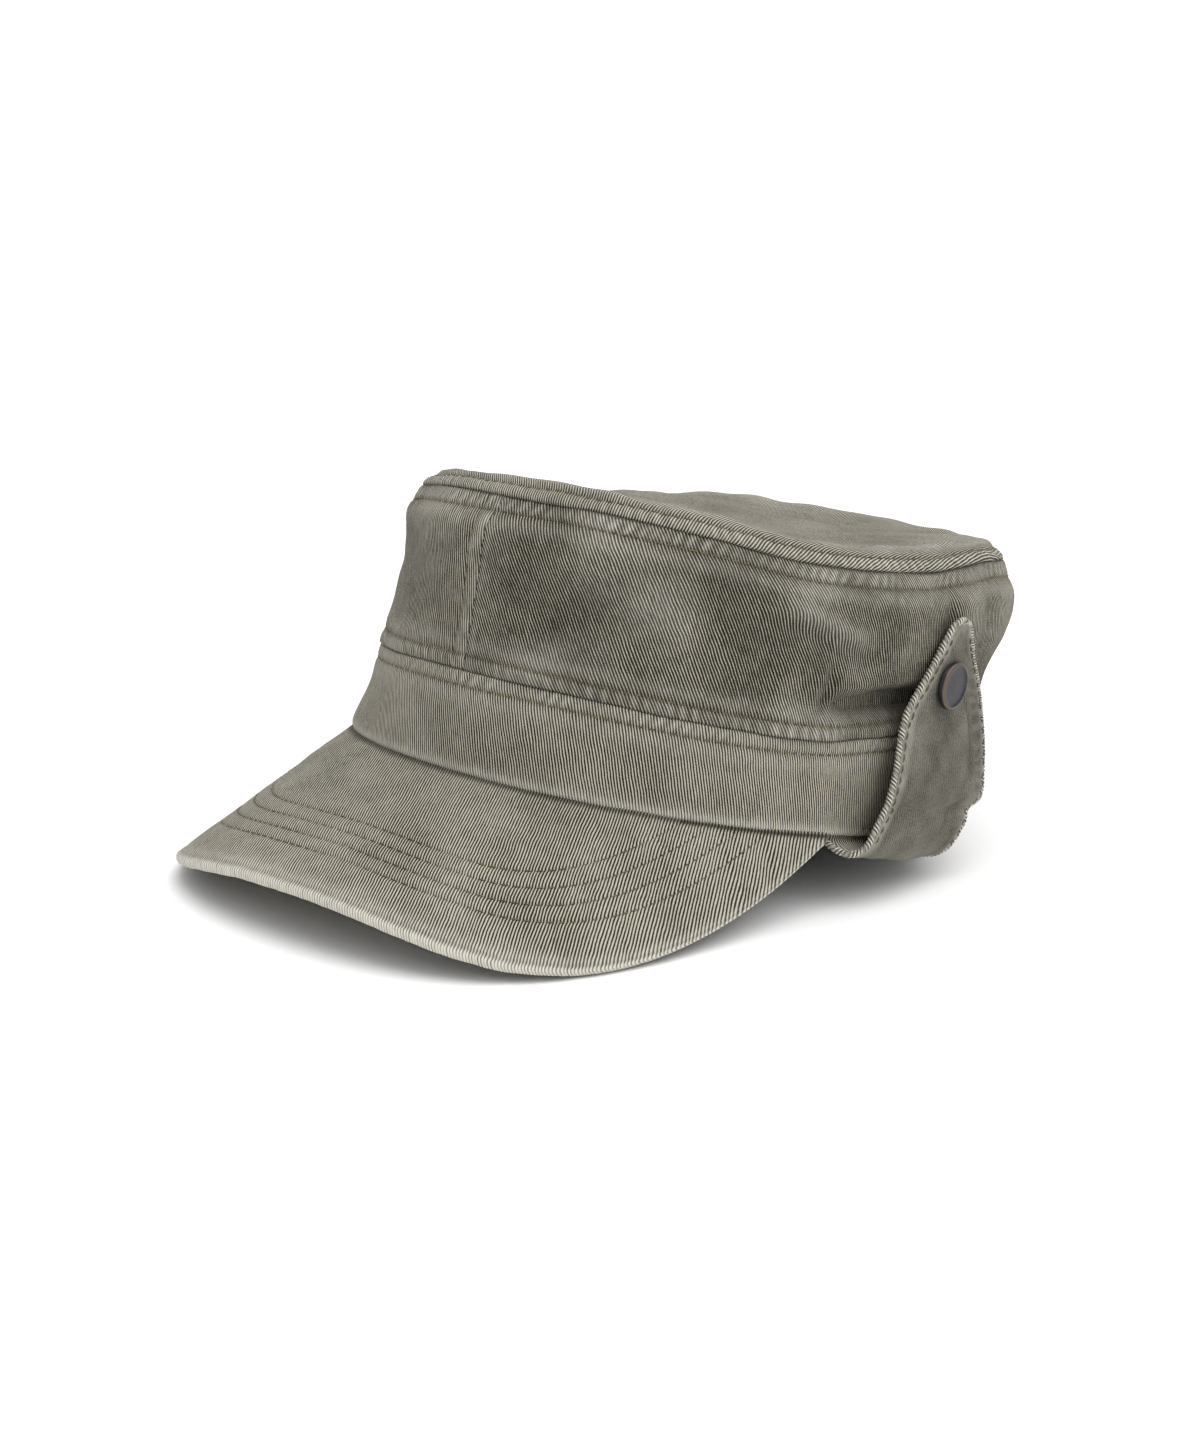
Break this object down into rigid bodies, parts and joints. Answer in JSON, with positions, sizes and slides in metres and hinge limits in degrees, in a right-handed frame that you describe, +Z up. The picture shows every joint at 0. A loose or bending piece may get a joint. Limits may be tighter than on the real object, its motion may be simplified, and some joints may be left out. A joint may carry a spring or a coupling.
{
  "type": "work cap",
  "caption": "Soft cotton work cap with a low flat-topped crown, a band, a curved stitched peak and ear flaps folded up and snapped at the sides.",
  "frame": {"origin": "middle of the bounding box's floor, with the cap resting on the peak's two side edges and the back of the band", "axes": "+Z up from the surface that the cap rests on, -Y towards the front of the peak, +X to the wearer's left"},
  "size_m": [0.1866, 0.2916, 0.1297],
  "materials": {
    "twill": "washed grey-olive cotton twill",
    "brushed_lining": "brushed grey-olive cotton, the cloth's plain side",
    "gunmetal": "dark gunmetal with bronze worn edges"
  },
  "bodies": {
    "root": {"band": "twill", "crown_side_left": "twill", "crown_side_right": "twill", "top_panel": "twill", "peak": "twill", "ear_flap_face_left": "twill", "ear_flap_face_right": "twill", "ear_flap_lining_left": "brushed_lining", "ear_flap_lining_right": "brushed_lining", "snap_cap_left": "gunmetal", "snap_cap_right": "gunmetal", "snap_stud_left": "gunmetal", "snap_stud_right": "gunmetal"}
  },
  "joints": []
}
